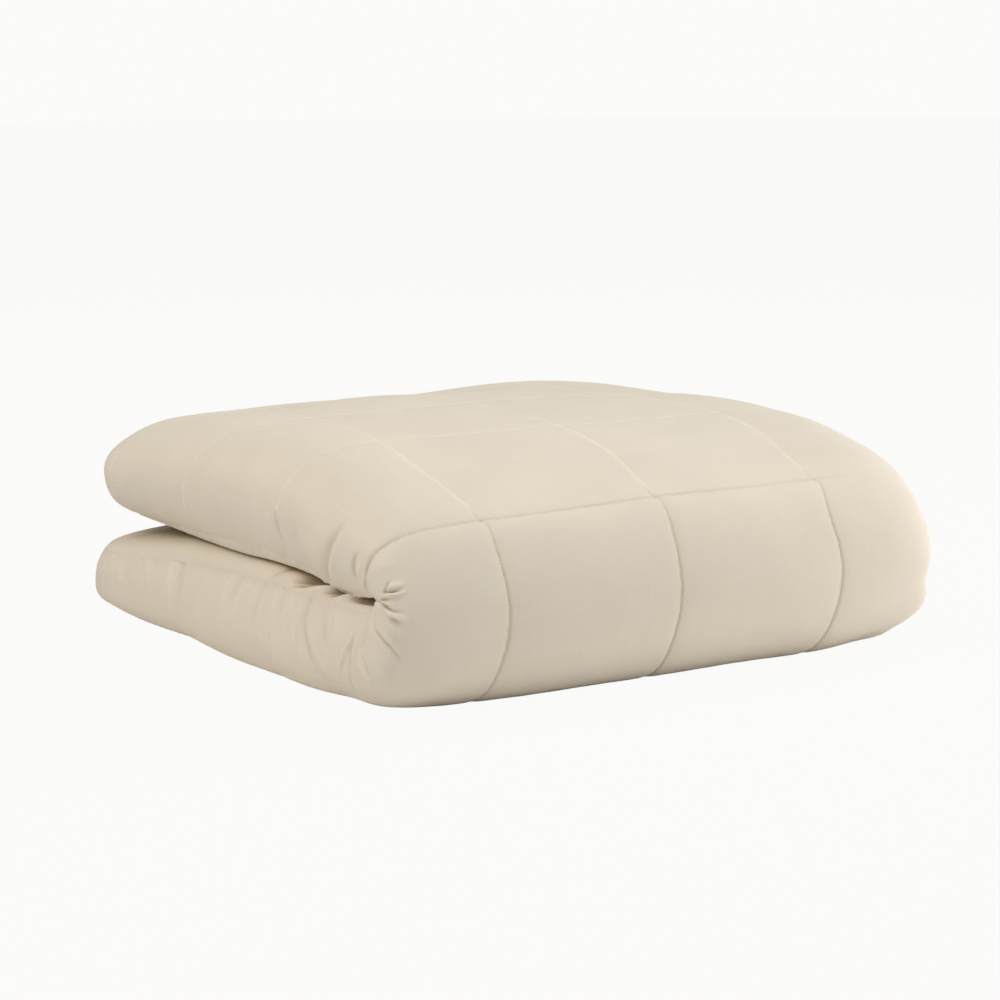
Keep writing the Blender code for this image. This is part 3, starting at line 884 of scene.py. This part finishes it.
# Plain weave: threads going over and under each other in turn
def weaveGroup():
    tree, given, result = shaderGroup("plainWeave", {"Pitch": 0.0005}, "Height")
    parts = addNode(tree, "ShaderNodeSeparateXYZ", {0: given["Place"]}).node.outputs[:2]
    turn = maths(tree, "DIVIDE", math.pi, given["Pitch"])
    warp, weft = (maths(tree, "SINE", maths(tree, "MULTIPLY", part, turn)) for part in parts)
    over = maths(tree, "GREATER_THAN", maths(tree, "MULTIPLY", warp, weft), 0.0)
    warpSize, weftSize = maths(tree, "ABSOLUTE", warp), maths(tree, "ABSOLUTE", weft)
    # A thread is round across its width, and rises and dips gently along its length
    warpUp, weftUp = (
        maths(tree, "MULTIPLY", maths(tree, "POWER", wide, 0.6), maths(tree, "POWER", long, 0.25))
        for wide, long in ((warpSize, weftSize), (weftSize, warpSize)))
    height = addNode(tree, "ShaderNodeMix", {0: over, 2: weftUp, 3: warpUp}, data_type="FLOAT")
    link(tree, height, result)
    return tree


# Threads of uneven thickness, which show as faint streaks both ways
def slubGroup():
    tree, given, result = shaderGroup("unevenYarn", {"Thinness": 900, "Length": 30}, "Streaks")
    streaks = []
    for first, second in (("Thinness", "Length"), ("Length", "Thinness")):
        scale = addNode(tree, "ShaderNodeCombineXYZ", {0: given[first], 1: given[second], 2: 1.0})
        place = addNode(tree, "ShaderNodeVectorMath", {0: given["Place"], 1: scale},
                        operation="MULTIPLY")
        streaks.append(addNode(tree, "ShaderNodeTexNoise", {"Vector": place, "Scale": 1, "Detail": 1}))
    link(tree, maths(tree, "MULTIPLY", maths(tree, "ADD", *streaks), 0.5), result)
    return tree


# Broad soft changes of tone
def driftGroup():
    tree, given, result = shaderGroup("toneDrift", {"Size": 0.05}, "Tone")
    scale = maths(tree, "DIVIDE", 1.0, given["Size"])
    noise = addNode(tree, "ShaderNodeTexNoise", {"Vector": given["Place"], "Scale": scale, "Detail": 3})
    link(tree, noise, result)
    return tree


weave, slub, drift = weaveGroup(), slubGroup(), driftGroup()


def placeGroup(tree, group, inputs):
    return addNode(tree, "ShaderNodeGroup", inputs, node_tree=group)


def newMaterial(name, look):
    material = bpy.data.materials.new(name)
    material.use_nodes = True
    shader = material.node_tree.nodes["Principled BSDF"]
    for label in ("Roughness", "Sheen Weight", "Specular IOR Level"):
        shader.inputs[label].default_value = look[label]
    return material, material.node_tree, shader


def coverMaterial():
    material, tree, shader = newMaterial("creamCotton", clothLook)
    flat = addNode(tree, "ShaderNodeUVMap", uv_map="flatCloth")
    place = addNode(tree, "ShaderNodeMapping", {"Vector": flat, "Scale": (10 * box,) * 3})
    streaks = placeGroup(tree, slub, {"Place": place})
    tone = placeGroup(tree, drift, {"Place": place, "Size": clothLook["driftSize"]})
    threads = placeGroup(tree, weave, {"Place": place, "Pitch": clothLook["threadPitch"] / 1000})
    closeness, paintedCreaseLight = (
        addNode(tree, "ShaderNodeAttribute", output="Fac", attribute_name=name)
        for name in ("paintedLineLight", "paintedCreaseLight"))

    def times(first, second):
        return maths(tree, "MULTIPLY", first, second)

    # Painted shade darkens and warms crease troughs and stitched lines; painted highlight pales ridges and
    # the lines on top
    lineShade, ridge = (maths(tree, "MAXIMUM", mask, 0.0) for mask in (closeness, paintedCreaseLight))
    paler, sunk = (maths(tree, "MAXIMUM", times(mask, -1.0), 0.0) for mask in (closeness, paintedCreaseLight))
    trough = maths(tree, "POWER", sunk, clothLook["creasePower"])
    warmth = maths(tree, "ADD", times(lineShade, clothLook["lineShadeWarmth"]),
                   times(trough, clothLook["creaseWarmth"]))
    base = addNode(tree, "ShaderNodeMix", {
        0: maths(tree, "MINIMUM", warmth, 1.0), 6: clothLook["colour"], 7: clothLook["shadeColour"],
    }, 2, data_type="RGBA")
    brightness = 1.0
    for mask, middle, share in (
            (streaks, 0.5, clothLook["streakTone"]), (tone, 0.5, clothLook["driftTone"]),
            (threads, 0.6, clothLook["threadTone"]), (ridge, 0.0, clothLook["ridgeShine"]),
            (trough, 0.0, -clothLook["creaseShade"]), (paler, 0.0, clothLook["lineShine"])):
        brightness = maths(tree, "ADD", times(maths(tree, "SUBTRACT", mask, middle), share), brightness)
    coloured = addNode(tree, "ShaderNodeHueSaturation", {"Value": brightness, "Color": base})
    link(tree, coloured, shader.inputs["Base Color"])

    relief = maths(tree, "ADD", times(threads, clothLook["weaveHeight"] / 1000),
                   times(streaks, clothLook["streakHeight"] / 1000))
    bump = addNode(tree, "ShaderNodeBump",
                   {"Strength": clothLook["reliefStrength"], "Distance": 1.0, "Height": relief})
    link(tree, bump, shader.inputs["Normal"])
    return material


threadLook = {
    "light": (0.95, 0.91, 0.82, 1),
    "dark": (0.89, 0.84, 0.73, 1),
    "Roughness": 0.7,
    "Sheen Weight": 0.1,
    "Specular IOR Level": 0.5,
    "driftSize": 0.012,
    "plyScale": 1400,
    "plyWander": 2,
    "plyHeight": 0.0001,
    "plyStrength": 0.4,
}


def threadMaterial():
    material, tree, shader = newMaterial("quiltingThread", threadLook)
    place = addNode(tree, "ShaderNodeTexCoord", output="Object")
    tone = placeGroup(tree, drift, {"Place": place, "Size": threadLook["driftSize"]})
    colour = addNode(tree, "ShaderNodeMix", {0: tone, 6: threadLook["light"], 7: threadLook["dark"]},
                     2, data_type="RGBA")
    link(tree, colour, shader.inputs["Base Color"])
    ply = addNode(tree, "ShaderNodeTexWave", {
        "Vector": place, "Scale": threadLook["plyScale"], "Distortion": threadLook["plyWander"],
    }, "Fac", bands_direction="DIAGONAL")
    bump = addNode(tree, "ShaderNodeBump", {
        "Strength": threadLook["plyStrength"], "Distance": threadLook["plyHeight"],
        "Height": ply,
    })
    link(tree, bump, shader.inputs["Normal"])
    return material


cover.data.materials.append(coverMaterial())
thread = makeThread(threadMaterial())
print("thread made:", countTriangles(thread), "triangles")

# The studio: a pale floor, soft light all round and the photograph's camera
studio = {
    "white": (1, 0.995, 0.985, 1),
    "backdrop": 0.97,  # what shows behind the blanket
    "around": 0,  # light from all sides
    "floorSize": 60,
    "floorDrop": 0.0006,
    "floorTone": 0.95,
    "floorGlow": 0.985,  # share of the floor that shows no shadow
}
lampColours = {"plain": (1, 1, 1), "warm": (1.045, 1, 0.95), "cool": (0.95, 1, 1.065)}
# Name, degrees round from the front to the right, degrees up, metres away, metres wide, watts, colour
softBoxes = (
    ("highLeftBox", -90, 50, 2.6, 1.8, 37, "warm"),
    ("lowLeftCard", -60, 8, 1.3, 0.6, 0.6, "warm"),
    ("highFrontBox", 0, 60, 2.6, 1.8, 19.5, "plain"),
    ("frontRightCard", 35, 12, 1.3, 0.6, 2.3, "warm"),
    ("lowRightCard", 60, 3, 1.1, 0.5, 3.2, "plain"),
    ("rightBox", 90, 32, 2.6, 1.8, 34.5, "cool"),
    ("backBox", 180, 30, 2.6, 1.8, 4.4, "plain"),
    ("topBox", 0, 88, 2.6, 1.8, 8, "cool"),
)
photoCamera = {
    "target": (-0.1273, -0.2517, 0.1534),
    "distance": 1.575,
    "azimuth": -29.856,
    "elevation": 10.495,
    "focalPixels": 2207,
    "framePixels": 1000,
    "sensor": 36,
}


# The way out from the middle, in degrees round from the front and up
def wayOut(azimuth, elevation):
    azimuth, elevation = math.radians(azimuth), math.radians(elevation)
    return (math.sin(azimuth) * math.cos(elevation), -math.cos(azimuth) * math.cos(elevation),
            math.sin(elevation))


def makeSoftBox(name, azimuth, elevation, distance, size, watts, colour):
    lamp = bpy.data.lights.new(name, "AREA")
    lamp.size = size
    lamp.energy = watts
    lamp.color = lampColours[colour]
    light = addObject(name, lamp)
    away = Vector(wayOut(azimuth, elevation))
    light.location = away * distance
    light.rotation_euler = away.to_track_quat("Z", "Y").to_euler()


def makeStudio():
    scene = bpy.context.scene
    scene.view_settings.view_transform = "Standard"
    scene.view_settings.look = "None"
    world = bpy.data.worlds.new("softStudio")
    world.use_nodes = True
    tree = world.node_tree
    seen = addNode(tree, "ShaderNodeLightPath", output="Is Camera Ray")
    strength = addNode(tree, "ShaderNodeMix", {0: seen, 2: studio["around"], 3: studio["backdrop"]},
                       data_type="FLOAT")
    tree.nodes["Background"].inputs["Color"].default_value = studio["white"]
    link(tree, strength, tree.nodes["Background"].inputs["Strength"])
    scene.world = world

    half, level = studio["floorSize"] / 2, -studio["floorDrop"]
    corners = [(x * half, y * half, level) for x, y in ((-1, -1), (1, -1), (1, 1), (-1, 1))]
    data = bpy.data.meshes.new("studioFloor")
    data.from_pydata(corners, [], [(0, 1, 2, 3)])
    floor = addObject("studioFloor", data)
    material = bpy.data.materials.new("paleFloor")
    material.use_nodes = True
    tree = material.node_tree
    tree.nodes.remove(tree.nodes["Principled BSDF"])
    tone = studio["floorTone"]
    matt = addNode(tree, "ShaderNodeBsdfDiffuse", {"Color": (tone, tone, tone, 1)})
    glow = addNode(tree, "ShaderNodeEmission", {"Color": studio["white"], "Strength": studio["backdrop"]})
    seen = addNode(tree, "ShaderNodeLightPath", output="Is Camera Ray")
    share = maths(tree, "MULTIPLY", seen, studio["floorGlow"])
    both = addNode(tree, "ShaderNodeMixShader", {0: share, 1: matt, 2: glow})
    link(tree, both, tree.nodes["Material Output"].inputs["Surface"])
    data.materials.append(material)
    for setting in softBoxes:
        makeSoftBox(*setting)


def makeCamera():
    lens = bpy.data.cameras.new("photoCamera")
    lens.sensor_width = photoCamera["sensor"]
    lens.lens = photoCamera["focalPixels"] / photoCamera["framePixels"] * photoCamera["sensor"]
    camera = addObject("photoCamera", lens)
    azimuth, elevation = photoCamera["azimuth"], photoCamera["elevation"]
    camera.location = [target + photoCamera["distance"] * step
                       for target, step in zip(photoCamera["target"], wayOut(azimuth, elevation))]
    camera.rotation_euler = (math.pi / 2 - math.radians(elevation), 0, math.radians(azimuth))
    bpy.context.scene.camera = camera


makeStudio()
makeCamera()
print("studio made:", len(softBoxes), "lights")

for piece in (cover, thread):
    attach(piece, "root")
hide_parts("blanket")
